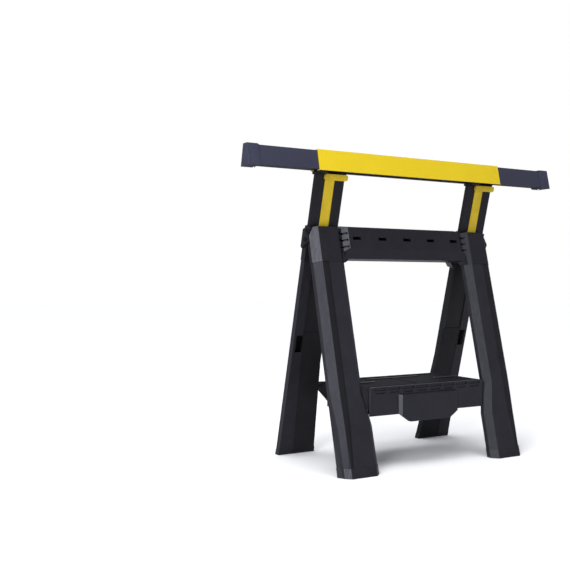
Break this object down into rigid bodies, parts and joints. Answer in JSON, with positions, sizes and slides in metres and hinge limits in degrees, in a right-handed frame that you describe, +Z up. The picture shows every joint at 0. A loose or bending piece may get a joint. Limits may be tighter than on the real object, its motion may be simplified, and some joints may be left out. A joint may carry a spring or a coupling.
{
  "type": "folding sawhorse",
  "caption": "Folding sawhorse with an A-frame of black plastic legs, a beam on posts that telescope, bars that draw out and a shelf that folds up.",
  "frame": {"origin": "on the floor, under the middle of the standing frame, at the centre of the bounding box's base", "axes": "+X along the beam to the right as seen from the front, -Y towards the front frame, +Z up"},
  "size_m": [1.01, 0.3619, 0.813],
  "materials": {
    "black_plastic": "fine moulded texture, satin",
    "dark_plastic": "satin",
    "shoe_rubber": "matt, ribbed",
    "yellow_paint": "powder coat, satin",
    "yellow_plastic": "satin",
    "bar_paint": "powder coat, satin",
    "cap_plastic": "satin",
    "black_steel": "black oxide",
    "zinc_steel": "zinc plated"
  },
  "bodies": {
    "rear_frame": {"rear_header": "black_plastic", "rear_leg_left": "black_plastic", "rear_leg_right": "black_plastic", "rear_foot_left": "shoe_rubber", "rear_foot_right": "shoe_rubber", "rear_leg_screws": "zinc_steel", "hinge_pins": "black_steel", "shelf_pins": "zinc_steel"},
    "front_frame": {"front_header": "black_plastic", "front_leg_left": "black_plastic", "front_leg_right": "black_plastic", "front_foot_left": "shoe_rubber", "front_foot_right": "shoe_rubber", "front_leg_screws": "zinc_steel", "shelf_rest_left": "dark_plastic", "shelf_rest_right": "dark_plastic"},
    "lift": {"post_left": "dark_plastic", "post_right": "dark_plastic", "saddle_left": "dark_plastic", "saddle_right": "dark_plastic", "beam_cover": "yellow_paint", "cover_screws": "zinc_steel", "stop_pin_left": "zinc_steel", "stop_pin_right": "zinc_steel", "latch_spring_left": "zinc_steel", "latch_spring_right": "zinc_steel"},
    "left_bar": {"bar_left": "bar_paint", "bar_cap_left": "cap_plastic", "cap_screw_left": "zinc_steel"},
    "right_bar": {"bar_right": "bar_paint", "bar_cap_right": "cap_plastic", "cap_screw_right": "zinc_steel"},
    "left_latch": {"latch_left": "yellow_plastic"},
    "right_latch": {"latch_right": "yellow_plastic"},
    "shelf": {"shelf_tray": "black_plastic"}
  },
  "joints": [
    {"name": "fold", "type": "hinge", "parent": "rear_frame", "child": "front_frame", "pos_m": [0, -0.0076, 0.587], "axis": [1, 0, 0], "range_deg": [0, 28]},
    {"name": "shelf_fold", "type": "hinge", "parent": "rear_frame", "child": "shelf", "pos_m": [0, 0.1164, 0.188], "axis": [-1, 0, 0], "range_deg": [0, 75]},
    {"name": "lift", "type": "slide", "parent": "rear_frame", "child": "lift", "axis": [0, 0.2512, -0.9679], "range_m": [0, 0.112]},
    {"name": "bar_left_slide", "type": "slide", "parent": "lift", "child": "left_bar", "axis": [1, 0, 0], "range_m": [0, 0.16]},
    {"name": "bar_right_slide", "type": "slide", "parent": "lift", "child": "right_bar", "axis": [-1, 0, 0], "range_m": [0, 0.16]},
    {"name": "latch_left_slide", "type": "slide", "parent": "lift", "child": "left_latch", "axis": [0, -0.2512, 0.9679], "range_m": [0, 0.0045], "stiffness_N_per_m": 600, "springref_m": -0.004, "deforming": ["latch_spring_left"]},
    {"name": "latch_right_slide", "type": "slide", "parent": "lift", "child": "right_latch", "axis": [0, -0.2512, 0.9679], "range_m": [0, 0.0045], "stiffness_N_per_m": 600, "springref_m": -0.004, "deforming": ["latch_spring_right"]}
  ],
  "couplings": [
    {"joint": "shelf_fold", "follows": "fold", "ratio": 2.66}
  ]
}
